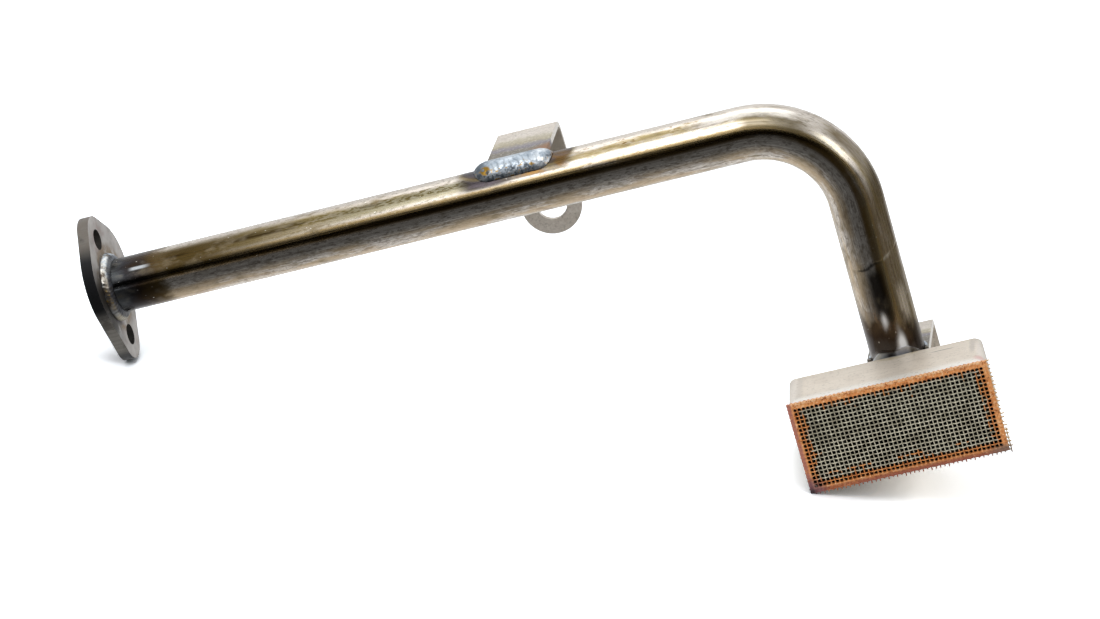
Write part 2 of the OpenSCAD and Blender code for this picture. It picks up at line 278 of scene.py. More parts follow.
# drawn tube: satin mill finish with lengthwise draw lines, oil film, and heat tint by each weld
millTube = {
    "base": "#cbc4bb", "metallic": 1.0, "roughness": ("wear", 0.3, 1.6, 0.13, 0.6),
    "patterns": {"line": ((90.0, 0.6, 0.6), 4.0), "hair": ((160.0, 0.28, 0.28), 2.0), "stain": ((24.0, 6.0, 6.0), 4.0),
                 "film": ((40.0, 5.0, 5.0), 5.0), "blotch": ((9.0, 5.0, 5.0), 4.0), "speck": ((1.6, 0.9, 0.9), 1.0),
                 "cloud": ((10.0, 4.5, 4.5), 0.5), "grit": ((2.4, 0.8, 0.8), 2.0)},
    "bumps": [("line", 0.02, 0.35), ("mark", 0.12, 0.6)],
    "flangeTint": [(0.0, "#63676a"), (0.25, "#3c3b3e"), (0.5, "#372d25"), (0.7, "#54442a"), (1.0, "#6f6043")],
    "beadTint": [(0.0, "#3a3a42"), (0.35, "#443f43"), (0.6, "#4f463d"), (0.84, "#8f8058"), (1.0, "#cbc4bb")],
    "boxTint": [(0.0, "#4d4845"), (0.25, "#3b3027"), (0.5, "#4d4031"), (1.0, "#94866f")],
    # what each tint is measured by, where it is hottest, and where it ends
    "tintReach": {"flangeTint": ("along", 8.0, 34.0), "beadTint": ("bead", 4.0, 11.5),
                  "boxTint": ("lower", 393.0, 371.0)},
    "tintWander": 0.7, "tintSteady": 0.15, "boxTilt": -0.07,
    "beadEnds": (167.0, 196.0), "beadLine": (-0.5, 11.5), "beadSqueeze": (1.0, 1.5, 1.5),
    "spots": {"stop": (199.5, -3.5, 10.4)},
    "crease": {"along": 355.9, "slant": 0.05, "wave": 3.0, "half": 0.9},
    "handled": (8.0, 32.0, 0.0, 0.29),  # from and to which angle, and how much duller it gets
    # along, round, how tall, how wide, how bright
    "burnt": [(378.2, -3.0, 6.0, 11.0, 0.7), (389.5, 20.0, 9.0, 16.0, 1.0), (396.5, -32.0, 7.0, 32.0, 0.75)],
    "burntEdge": (1.55, 0.45), "burntRagged": 0.9, "burntRough": 1.2, "burntMetal": -0.65,
}


def tubePath(tree, field):
    # millimetres along the bent axis from the flange, and the angle round it, front 0 and top 90
    x = addNode(tree, calc, "SUBTRACT", [field["x"], part["reach"] - part["bendR"]])
    z = addNode(tree, calc, "ADD", [field["z"], part["bendR"]])
    bentX, bentZ = (addNode(tree, calc, "MAXIMUM", [v, 0.0]) for v in (x, z))
    flat = addNode(tree, combine, {}, {0: bentX, 2: bentZ})
    length = addNode(tree, vectorCalc, "LENGTH", [flat])
    out = addNode(tree, calc, "SUBTRACT", [length, part["bendR"]])
    turn = addNode(tree, calc, "MULTIPLY", [addNode(tree, calc, "ARCTAN2", [bentX, bentZ]), part["bendR"]])
    longLeg, shortLeg = (addNode(tree, calc, "MINIMUM", [v, 0.0]) for v in (x, z))
    straight = addNode(tree, calc, "SUBTRACT", [longLeg, shortLeg])
    along = addNode(tree, calc, "ADD", [addNode(tree, calc, "ADD", [turn, straight]), part["reach"] - part["bendR"]])
    angle = addNode(tree, calc, "ARCTAN2", [out, addNode(tree, calc, "MULTIPLY", [field["y"], -1.0])])
    return {
        "along": along, "path": addNode(tree, combine, {}, [along, field["y"], out]),
        "round": addNode(tree, calc, "DEGREES", [angle]),
        "radius": addNode(tree, vectorCalc, "LENGTH", [addNode(tree, combine, {}, {1: field["y"], 2: out})]),
    }


def tubeMaterial(look):
    material, tree, shader, field = startMaterial("drawn mill steel tube", look, tubePath)
    # distance from the middle bead, squeezed across it
    held = addNode(tree, "ShaderNodeClamp", {}, [field["x"], *look["beadEnds"]])
    bead = addNode(tree, combine, {}, [held, *look["beadLine"]])
    away = addNode(tree, vectorCalc, "SUBTRACT", [field["spot"], bead])
    away = addNode(tree, vectorCalc, "MULTIPLY", [away, look["beadSqueeze"]])
    field["bead"] = addNode(tree, vectorCalc, "LENGTH", [away])
    field["lower"] = addNode(tree, calc, "MULTIPLY_ADD", [field["round"], look["boxTilt"], field["along"]])
    # heat tints, wandering with the stains except right at the weld
    wander = addNode(tree, calc, "MULTIPLY_ADD", [field["blotch"], look["tintWander"], -look["tintWander"] / 2])
    tints = {}
    for label, (value, near, far) in look["tintReach"].items():
        reach = addNode(tree, spread, {}, [field[value], near, far, 0.0, 1.0])
        steady = addNode(tree, spread, soft, [reach, 0.0, look["tintSteady"], 0.0, 1.0])
        loose = addNode(tree, calc, "MULTIPLY", [wander, steady])
        field[label] = addNode(tree, calc, "ADD", [reach, loose])
        tints[label] = addNode(tree, ramp, {"ramp": look[label]}, [field[label]])
    # crease that the bending die left on the front of the short leg
    crease = look["crease"]
    waved = addNode(tree, calc, "MULTIPLY_ADD", [field["cloud"], crease["wave"], field["along"]])
    waved = addNode(tree, calc, "MULTIPLY_ADD", [field["round"], crease["slant"], waved])
    field["off"] = addNode(tree, calc, "ABSOLUTE", [addNode(tree, calc, "SUBTRACT", [waved, crease["along"]])])
    field["mark"] = addNode(tree, spread, soft, [field["off"], crease["half"], 0.0, 1.0, 0.0])
    # matt silver spots where the torch burnt the oil off above the box, painted near white as highlights
    unrolled, burnt = addNode(tree, combine, {}, [field["along"], field["round"]]), 0.0
    for along, turn, tall, wide, shine in look["burnt"]:
        away = addNode(tree, vectorCalc, "SUBTRACT", [unrolled, (along, turn, 0.0)])
        away = addNode(tree, vectorCalc, "LENGTH", [addNode(tree, vectorCalc, "DIVIDE", [away, (tall, wide, 1.0)])])
        away = addNode(tree, calc, "MULTIPLY_ADD", [field["cloud"], look["burntRagged"], away])
        spot = addNode(tree, spread, soft, [away, *look["burntEdge"], 0.0, shine])
        burnt = addNode(tree, calc, "MAXIMUM", [spot, burnt])
    field["burnt"] = burnt
    dull = addNode(tree, spread, soft, [field["round"], *look["handled"]])  # the top was handled more
    dull = addNode(tree, calc, "ADD", [field["line"], dull])
    field["wear"] = addNode(tree, calc, "MULTIPLY_ADD", [burnt, look["burntRough"], dull])
    coats = [
        ("#a99f94", 0.55, [("line", 0.5, 0.72)]), ("#e6e0d8", 0.5, [("line", 0.44, 0.32)]),
        ("#7a7166", 0.65, [("hair", 0.56, 0.64), ("round", 14, 4)]),
        ("#f3efe9", 0.65, [("hair", 0.44, 0.36), ("round", 8, -6)]),
        ("#776d60", 0.6, [("grit", 0.53, 0.64)]), ("#f4efe7", 0.5, [("grit", 0.45, 0.35), ("round", 4, -8)]),
        ("#b8a383", 0.8, [("round", -8, -24), ("stain", 0.36, 0.6)]),
        ("#8f7c66", 0.6, [("round", -12, -20), ("blotch", 0.56, 0.68)]),
        # oil film dried in a band; darkest just below the highlight, where it is painted shade as well
        ("#a98c4c", 0.8, [("round", 4, 14), ("round", 36, 28), ("film", 0.26, 0.46)]),
        ("#5a4216", 0.8, [("round", 3, 10), ("round", 24, 16), ("film", 0.22, 0.42)]),
        # the top: handled clean along the middle, where its paler coat is also a painted highlight, oily towards the
        # flange
        ("#ddd6cc", 0.5, [("along", 185, 215), ("along", 292, 272), ("round", 40, 50)]),
        ("#b59f62", 0.75, [("along", 178, 204), ("along", 264, 240), ("round", 45, 51), ("round", 71, 62),
                           ("stain", 0.4, 0.54)]),
        ("#86651f", 0.85, [("along", 196, 212), ("along", 264, 252), ("round", 52, 58), ("round", 80, 72),
                           ("grit", 0.54, 0.6), ("blotch", 0.46, 0.58)]),
        ("#9b8a58", 0.7, [("round", 38, 48), ("round", 80, 66), ("stain", 0.5, 0.64)]),
        ("#9c967c", 0.85, [("along", 92, 114), ("along", 178, 158), ("round", 35, 43), ("round", 70, 58)]),
        ("#5f4f12", 0.85, [("along", 66, 96), ("along", 172, 160), ("round", 45, 52), ("round", 70, 61),
                           ("grit", 0.47, 0.58)]),
        # the bend: a pale top outside and a bright stretch lower down, both painted highlights, an oily patch between,
        # and darker on the upper side past the bend
        ("#f2ede4", 0.85, [("along", 256, 264), ("along", 295, 287), ("round", 51, 57), ("round", 75, 69)]),
        ("#665c46", 0.85, [("along", 270, 276), ("along", 300, 290), ("round", 24, 30), ("round", 55, 47)]),
        ("#ebe2cc", 0.9, [("along", 296, 302), ("along", 315, 307), ("round", 26, 31), ("round", 46, 40)]),
        ("#6f6553", 0.75, [("along", 297, 305), ("along", 340, 328), ("round", 43, 54), ("round", 86, 78)]),
        # long leg towards the flange: thick brown oil
        ("#77683f", 0.9, [("round", 26, 40), ("round", 86, 62), ("film", -0.1, 0.26), ("along", 150, 70)]),
        ("#4a3b1d", 0.95, [("round", 8, 20), ("round", 82, 62), ("along", 92, 40), ("film", -0.05, 0.3)]),
        ("#2e210c", 0.9, [("round", 44, 53), ("round", 67, 59), ("film", 0.46, 0.56), ("along", 135, 105)]),
        ("#55431c", 0.5, [("round", 40, 54), ("round", 76, 60), ("blotch", 0.5, 0.72), ("stain", 0.4, 0.6)]),
        # short leg: brown on its right, black below the crease, and a pale streak lower down that is a painted
        # highlight
        ("#8c7a57", 0.75, [("along", 318, 332), ("round", 8, 26), ("stain", 0.28, 0.5)]),
        ("#5c4a2c", 0.7, [("along", 330, 345), ("round", 10, 30), ("film", 0.5, 0.62)]),
        ("#efe4d2", 0.9, [("along", 363, 371), ("along", 384, 377), ("round", 34, 43), ("round", 66, 53)]),
        ("#5d4d3c", 0.55, [("along", 356, 368), ("round", -46, -26), ("round", 12, 0)]),
        ("#2a241f", 0.93, [("along", 353.5, 359.5), ("along", 388, 372), ("round", -24, -6), ("round", 27, 8)]),
        # the crease: painted shade in it across the front, and a painted highlight on it higher up
        ("#15100d", 0.85, [("off", 1.5, 0.2), ("round", -40, -14), ("round", 24, 12), ("hair", 0.66, 0.46)]),
        ("#d9d3c6", 0.7, [("off", 0.9, 0.3), ("round", 26, 30), ("round", 50, 42)]),
        # round the middle bead: sooty, and painted shade below it that narrows the highlight, brown at its right
        ("#433d38", 0.9, [("x", 154, 164), ("x", 208, 199), ("round", 34, 40)]),
        ("#37322f", 0.85, [("x", 155, 163), ("x", 184, 172), ("round", 30, 36)]),
        ("#7f6034", 0.85, [("x", 178, 187), ("x", 204, 198), ("round", 36, 41), ("blotch", 0.38, 0.54)]),
        ("#6a6270", 0.25, [("x", 158, 163), ("x", 178, 170), ("round", 33, 38), ("blotch", 0.46, 0.6)]),
        (tints["flangeTint"], 1.0, [("flangeTint", 1.0, 0.72)]), (tints["beadTint"], 1.0, [("beadTint", 1.0, 0.6)]),
        ("#664c28", 0.85, [("stop", 6.5, 2.5), ("blotch", 0.3, 0.5)]),
        # near-white burnt spots: bare metal, and painted highlights
        (tints["boxTint"], 1.0, [("boxTint", 1.0, 0.45)]), ("#f4f5f7", 0.96, [("burnt", 0.0, 0.9)]),
        ("#f1eee6", 0.7, [("speck", 0.75, 0.8)]),
        # glint by the flange
        ("#d9dfe4", 0.75, [("along", 15, 18), ("along", 26, 21), ("round", 40, 44), ("round", 51, 47)]),
        ("#1b1917", 1.0, [("radius", 10.7, 10.3)]),  # near black inside the bore
    ]
    finishMaterial(tree, shader, field, look, coats)
    metal = addNode(tree, calc, "MULTIPLY_ADD", [burnt, look["burntMetal"], look["metallic"]])
    tree.links.new(metal, shader.inputs["Metallic"])
    return material


# flame-cut plate: dull ground faces, drag lines and soot round the edge, with painted shade on the front of the face
# and of the rim
cutPlate = {
    "base": "#b3b0ad", "metallic": 0.55, "roughness": ("mottle", 0.3, 0.7, 0.4, 0.58), "round": 0.45,
    "patterns": {"mottle": ((7.0, 7.0, 7.0), 5.0), "cloud": ((16.0, 11.0, 11.0), 3.0), "drag": ((14.0, 0.7, 0.7), 3.0),
                 "grit": ((0.5, 0.5, 0.5), 2.0)},
    "bumps": [("grit", 0.02, 0.4), ("cut", 0.08, 0.3)],
}


def flangeMaterial(look):
    material, tree, shader, field = startMaterial("flame-cut steel plate", look)
    field["flat"] = addNode(tree, calc, "ABSOLUTE", [addNode(tree, separate, {}, [field["facing"]])])
    onFace, onEdge = ("flat", 0.6, 0.9), ("flat", 0.9, 0.6)
    edge = addNode(tree, spread, soft, [field["flat"], *onEdge[1:], 0.0, 1.0])
    field["cut"] = addNode(tree, calc, "MULTIPLY", [field["drag"], edge])
    field["radius"] = addNode(tree, vectorCalc, "LENGTH", [addNode(tree, combine, {}, {1: field["y"], 2: field["z"]})])
    above = addNode(tree, calc, "SUBTRACT", [addNode(tree, calc, "ABSOLUTE", [field["z"]]), part["boltZ"]])
    field["bolt"] = addNode(tree, vectorCalc, "LENGTH", [addNode(tree, combine, {}, {1: field["y"], 2: above})])
    coats = [
        ("#958e8a", 0.65, [("mottle", 0.46, 0.68)]), ("#a08f8a", 0.55, [("cloud", 0.5, 0.66)]),
        ("#c9c4c0", 0.5, [("mottle", 0.44, 0.32)]),
        ("#7c6647", 0.8, [("radius", 20.5, 16.0), ("mottle", 0.36, 0.56), onFace]),  # heat ring
        ("#3a3a40", 0.8, [("radius", 16.6, 15.0), ("y", 2, -8), onFace]),
        # painted shade on the front part of the face, beside the tube
        ("#1f1e1e", 0.92, [onFace, ("y", -4, -11), ("z", -24, -12), ("z", 16, 5), ("mottle", 0.2, 0.45)]),
        ("#85827c", 0.95, [onEdge]), ("#55504a", 0.35, [onEdge, ("drag", 0.42, 0.72)]),
        ("#3f3a35", 0.6, [onEdge, ("mottle", 0.48, 0.66)]),
        ("#6f675f", 0.75, [onEdge, ("z", 17, 22), ("mottle", 0.66, 0.44)]),
        # painted shade: near black across the front of the rim's middle
        ("#080b10", 0.98, [onEdge, ("y", 2, -5), ("z", -12, -2), ("z", 25, 17)]),
        ("#252b32", 0.8, [onEdge, ("z", -23, -28)]), ("#2a2622", 0.9, [onEdge, ("bolt", 5.4, 4.7)]),
    ]
    finishMaterial(tree, shader, field, look, coats)
    return material


# cold-rolled sheet and strip: pale, dull, faintly stained, bright along sheared edges, which on the brackets' cut faces
# turned to +X is a painted highlight
rolledSheet = {
    "base": "#dbd3c9", "metallic": 0.5, "roughness": ("grain", 0.3, 0.7, 0.36, 0.5), "round": 0.5,
    "patterns": {"grain": ((34.0, 0.7, 0.7), 3.0), "blotch": ((14.0, 10.0, 10.0), 4.0),
                 "smear": ((5.0, 9.0, 9.0), 4.0), "grit": ((1.1, 1.1, 1.1), 3.0)},
    "bumps": [("grain", 0.012, 0.4), ("blotch", 0.15, 0.2)],
}
# heat tint on the brackets from the weld outwards, slanted and ragged
strip = {
    "tint": [(0.0, "#6a645a"), (0.25, "#787266"), (0.4, "#7b7782"), (0.5, "#8d8788"), (0.6, "#a99f83"),
             (0.8, "#c3bba7"), (1.0, "#d2cabf")],
    "slant": 0.12, "ragged": 0.36,
}
sheetBox = {
    **rolledSheet, "base": "#e9dfd1", "metallic": 0.3, "middle": (305.0, -20.0, -120.0),
    "spots": {"rosy": (343.0, -34.5, -100.6)}, "dentShadeWander": 5.0, "scratchY": -17.9, "scratchWander": 1.2,
}


def bracketMaterial(name, look, middleX, tintFrom, tintTo, scorch):
    material, tree, shader, field = startMaterial(name, look)
    lean = addNode(tree, calc, "MULTIPLY_ADD", [
        addNode(tree, calc, "SUBTRACT", [field["x"], middleX]), strip["slant"], field["y"]])
    reach = addNode(tree, spread, {}, [lean, tintFrom, tintTo, 0.0, 1.0])
    field["tint"] = addNode(tree, calc, "ADD", [
        reach, addNode(tree, calc, "MULTIPLY_ADD", [field["smear"], strip["ragged"], -strip["ragged"] / 2])])
    tint = addNode(tree, ramp, {"ramp": strip["tint"]}, [field["tint"]])
    turned = addNode(tree, separate, {}, [field["facing"]]).node.outputs
    field["cut"], field["back"] = turned["X"], turned["Y"]
    litShearedFace = ("cut", 0.7, 0.95)
    coats = [
        ("#c6bdb1", 0.6, [("blotch", 0.45, 0.7)]), ("#b9b0a5", 0.4, [("grain", 0.5, 0.75)]),
        (tint, 1.0, [("tint", 1.0, 0.8)]),
        ("#8d867c", 0.4, [("grit", 0.52, 0.66)]), ("#f2eee6", 0.35, [("grit", 0.46, 0.34)]),
        ("#a19b91", 0.8, [("back", -0.3, -0.7), ("y", 11, 15), ("z", -5, 0)]),  # painted shade on the inner face, in the fold
    ]
    if scorch:  # painted highlight on the sheared faces turned to +X, burnt where the bead ran out
        field["scorch"] = addNode(tree, vectorCalc, "DISTANCE", [field["spot"], scorch])
        coats += [("#f6f2ec", 0.9, [litShearedFace, ("y", 15, 18)]), ("#7c5426", 0.85, [litShearedFace, ("y", 15, 10)]),
                  ("#8f6238", 0.85, [("scorch", 12.0, 5.0), ("smear", 0.26, 0.46)])]
    else:
        # painted highlight on the sheared faces turned to +X
        coats += [("#fbf8f2", 0.95, [litShearedFace])]
    finishMaterial(tree, shader, field, look, coats)
    return material


def boxMaterial(look):
    material, tree, shader, field = startMaterial("cold-rolled sheet box", look)
    # inside faces look at the middle of the box
    inward = addNode(tree, vectorCalc, "SUBTRACT", [look["middle"], field["spot"]])
    field["inside"] = addNode(tree, vectorCalc, "DOT_PRODUCT", [field["facing"], inward])
    field["leg"] = addNode(tree, vectorCalc, "LENGTH", [addNode(tree, combine, {}, [
        addNode(tree, calc, "SUBTRACT", [field["x"], part["reach"]]), field["y"]])])
    bent = addNode(tree, calc, "MULTIPLY_ADD", [field["smear"], look["dentShadeWander"], -look["dentShadeWander"] / 2])
    field["dentShade"] = addNode(tree, calc, "ADD", [field["x"], bent])
    scratch = addNode(tree, calc, "MULTIPLY_ADD", [field["grain"], look["scratchWander"], field["y"]])
    field["scratch"] = addNode(tree, calc, "ABSOLUTE", [addNode(tree, calc, "SUBTRACT", [scratch, look["scratchY"]])])
    coats = [
        ("#d3c7b8", 0.45, [("blotch", 0.45, 0.7)]), ("#c8bfb1", 0.3, [("grain", 0.5, 0.75)]),
        # painted highlight and shade on the rounded folds at both ends of the roof
        ("#f1ebe3", 0.6, [("x", 270.4, 267.4)]), ("#c2bbb2", 0.4, [("x", 267.6, 269.4), ("x", 272.0, 269.8)]),
        ("#f1ebe3", 0.55, [("x", 340.6, 342.2)]),
        # painted shade of a dent near the right end
        ("#b0aaa4", 0.5, [("dentShade", 338.2, 339.8), ("dentShade", 341.8, 340.4), ("y", -30, -24)]),
        # darker towards the back of the roof; a painted highlight along its front edge
        ("#c4baac", 0.3, [("y", -28, -12)]), ("#fbf8f2", 0.85, [("y", -33, -38)]),
        ("#a79f94", 0.35, [("grit", 0.54, 0.68)]), ("#d6958c", 0.5, [("rosy", 4.0, 0.8)]),
        ("#6d665f", 0.85, [("scratch", 0.35, 0.1), ("x", 322, 325), ("x", 333, 331), ("z", -108, -103)]),
        ("#b7a67d", 0.65, [("leg", 17.5, 15.5), ("blotch", 0.3, 0.5), ("z", -134, -128)]),
        ("#6f7683", 0.8, [("leg", 14.8, 13.0), ("z", -134, -128)]),
        ("#0b0a09", 1.0, [("inside", -0.5, 0.5)]),  # painted shade: the inside faces near black
    ]
    finishMaterial(tree, shader, field, look, coats)
    return material


def dress(node, material):
    nodes[node].data.materials.clear()
    nodes[node].data.materials.append(material)


dress("pickup_tube", tubeMaterial(millTube))
dress("flange", flangeMaterial(cutPlate))
dress("middle_bracket", bracketMaterial(
    "cold-rolled strip, middle", rolledSheet, 181.4, 5.0, 31.0, (195.5, 3.5, 11.5)))
dress("rear_bracket", bracketMaterial("cold-rolled strip, rear", rolledSheet, 308.4, 11.0, 30.0, None))
dress("pickup_box", boxMaterial(sheetBox))
print("tube, flange and sheet finished")


def newTree(name, sizes):
    # an empty Geometry Nodes tree with its named sizes
    tree = bpy.data.node_groups.new(name, "GeometryNodeTree")
    tree.interface.new_socket("Geometry", in_out="INPUT", socket_type="NodeSocketGeometry")
    kinds = {int: "NodeSocketInt", float: "NodeSocketFloat", tuple: "NodeSocketVector"}
    for label, value in sizes.items():
        tree.interface.new_socket(label, in_out="INPUT", socket_type=kinds[type(value)]).default_value = value
    tree.interface.new_socket("Geometry", in_out="OUTPUT", socket_type="NodeSocketGeometry")
    return tree, addNode(tree, "NodeGroupInput", {}, {}).node.outputs


def closeTree(tree, geometry, material):
    # every tree ends in real geometry with its material
    smooth = addNode(tree, "GeometryNodeSetShadeSmooth", {}, [geometry])
    real = addNode(tree, "GeometryNodeRealizeInstances", {}, [smooth])
    painted = addNode(tree, "GeometryNodeSetMaterial", {}, {0: real, "Material": material})
    addNode(tree, "NodeGroupOutput", {}, [painted])


def grow(name, tree, sizes, base=None):
    # runs a tree once and keeps its result as a plain mesh
    piece = bpy.data.objects.new(name, base or bpy.data.meshes.new(name))
    scene.collection.objects.link(piece)
    modifier = piece.modifiers.new("grow", "NODES")
    modifier.node_group = tree
    for item in tree.interface.items_tree:
        if item.in_out == "INPUT" and item.name in sizes:
            modifier[item.identifier] = sizes[item.name]
    mesh = bpy.data.meshes.new_from_object(piece.evaluated_get(bpy.context.evaluated_depsgraph_get()))
    piece.modifiers.clear()
    piece.data = mesh
    mesh.name = name
    return piece


def finerCopy(node, voxel):
    # an even, finer copy of a CAD node's mesh
    source = bmesh.new()
    source.from_mesh(nodes[node].data)
    bmesh.ops.remove_doubles(source, verts=source.verts, dist=1e-6)
    mesh = bpy.data.meshes.new(node + " copy")
    source.to_mesh(mesh)
    source.free()
    holder = bpy.data.objects.new(node + " copy", mesh)
    scene.collection.objects.link(holder)
    remesh = holder.modifiers.new("even", "REMESH")
    remesh.mode, remesh.voxel_size = "VOXEL", voxel
    even = bpy.data.meshes.new_from_object(holder.evaluated_get(bpy.context.evaluated_depsgraph_get()))
    bpy.data.objects.remove(holder)
    return even


# TIG bead: bright silver-blue ripples, straw and brown where the arc started and stopped
tigBead = {
    "base": "#bac4cd", "metallic": 1.0, "roughness": ("patch", 0.3, 0.7, 0.3, 0.5),
    "patterns": {"patch": ((5.0, 5.0, 5.0), 4.0), "pit": ((1.5, 1.5, 1.5), 2.0), "fume": ((8.0, 8.0, 8.0), 3.0)},
    "bumps": [("pit", 0.07, 0.5)], "spots": {"pool": (169.3, -6.2, 12.6)},
}
# how each crescent rises and falls, and how unevenly they follow each other
crescent = {"jitter": 230.0, "lumps": 330.0, "unevenness": (0.3, 0.7, 0.25, 1.15), "fall": 1.8, "rise": 6.0,
            "rounding": 0.25, "crown": 3.0}


def beadMaterial(name, look, stains):
    material, tree, shader, field = startMaterial(name, look)
    field["ripple"] = addNode(tree, "ShaderNodeAttribute", {"attribute_name": "ripple"}, {}).node.outputs["Fac"]
    coats = [
        # patches, and painted shade in the hollows between the ripples
        ("#8b97a3", 0.8, [("patch", 0.44, 0.62)]), ("#6f7984", 0.5, [("ripple", 0.45, 0.05)]),
        ("#8a6a1c", 0.85, [("pit", 0.72, 0.77)]), *stains,
    ]
    finishMaterial(tree, shader, field, look, coats)
    return material


def rippleTree(material):
    # crescents stepped along the bead, deepest on its crown
    tree, sizes = newTree("weld ripples", {"Pitch": 2.0, "Height": 0.0003, "Bow": 0.6, "Slant": 0.0, "Uneven": 0.6})
    along, across = (addNode(tree, "GeometryNodeInputNamedAttribute", {"data_type": "FLOAT"}, {"Name": label})
                     for label in ("along", "across"))
    spot = addNode(tree, "GeometryNodeInputPosition", {}, {})
    jitter = addNode(tree, noise, {}, {"Vector": spot, "Scale": crescent["jitter"], "Detail": 3.0})
    lumps = addNode(tree, noise, {}, {"Vector": spot, "Scale": crescent["lumps"], "Detail": 2.0})
    bowed = addNode(tree, calc, "MULTIPLY", [addNode(tree, calc, "MULTIPLY", [across, across]), sizes["Bow"]])
    bowed = addNode(tree, calc, "MULTIPLY_ADD", [across, sizes["Slant"], bowed])
    phase = addNode(tree, calc, "ADD", [addNode(tree, calc, "DIVIDE", [along, sizes["Pitch"]]), bowed])
    phase = addNode(tree, calc, "ADD", [phase, addNode(tree, calc, "MULTIPLY", [jitter, sizes["Uneven"]])])
    step = addNode(tree, calc, "FRACT", [phase])
    fall = addNode(tree, calc, "SUBTRACT", [1.0, addNode(tree, calc, "POWER", [step, crescent["fall"]])])
    rise = addNode(tree, calc, "MULTIPLY", [step, crescent["rise"]])
    rise = addNode(tree, calc, "SMOOTH_MIN", [fall, rise, crescent["rounding"]])
    uneven = addNode(tree, spread, soft, [lumps, *crescent["unevenness"]])
    crown = addNode(tree, "ShaderNodeClamp", {}, [addNode(tree, calc, "SUBTRACT", [
        1.0, addNode(tree, calc, "POWER", [addNode(tree, calc, "ABSOLUTE", [across]), crescent["crown"]])])])
    height = addNode(tree, calc, "MULTIPLY", [addNode(tree, calc, "MULTIPLY", [rise, crown]), sizes["Height"]])
    height = addNode(tree, calc, "MULTIPLY", [height, uneven])
    offset = addNode(tree, vectorCalc, "SCALE", {0: addNode(tree, "GeometryNodeInputNormal", {}, {}), "Scale": height})
    kept = addNode(tree, "GeometryNodeStoreNamedAttribute", {"data_type": "FLOAT", "domain": "POINT"}, {
        0: sizes["Geometry"], "Name": "ripple", "Value": rise})
    closeTree(tree, addNode(tree, place, {}, {0: kept, "Offset": offset}), material)
    return tree


def makeBead(name, node, sizes, along, across):
    mesh = finerCopy(node, sizes["voxel"])
    for vertex in mesh.vertices if "flush" in sizes else ():  # fused almost flat against the leg
        away = Vector((vertex.co.x - part["reach"] * mm, vertex.co.y))
        proud = away.length - part["tubeR"] * mm
        if proud > 0:
            kept = sizes["flush"] * (sizes["front"] + (1 - sizes["front"]) * (away.x / away.length) ** 2)
            away *= 1 - proud * (1 - kept) / away.length
            vertex.co.x, vertex.co.y = part["reach"] * mm + away.x, away.y
    for vertex in mesh.vertices if "fan" in sizes else ():  # washed out flat between tube and plate
        around = Vector((vertex.co.y, vertex.co.z))
        out, up = around.length / mm - part["tubeR"], vertex.co.x / mm - part["flangeT"]
        if out + up > sizes["fan"]:
            short = (1 + sizes["fan"] / (out + up)) / 2  # half the way back to the flat
            around *= (part["tubeR"] + out * short) * mm / around.length
            vertex.co = ((part["flangeT"] + up * short) * mm, around.x, around.y)
    for label, rule in (("along", along), ("across", across)):
        values = mesh.attributes.new(label, "FLOAT", "POINT")
        values.data.foreach_set("value", [rule(*(v.co * 1000)) for v in mesh.vertices])
    material = beadMaterial("TIG bead, " + name, tigBead, sizes["stains"])
    piece = grow(name, rippleTree(material), sizes, mesh)
    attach(piece, "root")
    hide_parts(node)


legX = part["reach"]
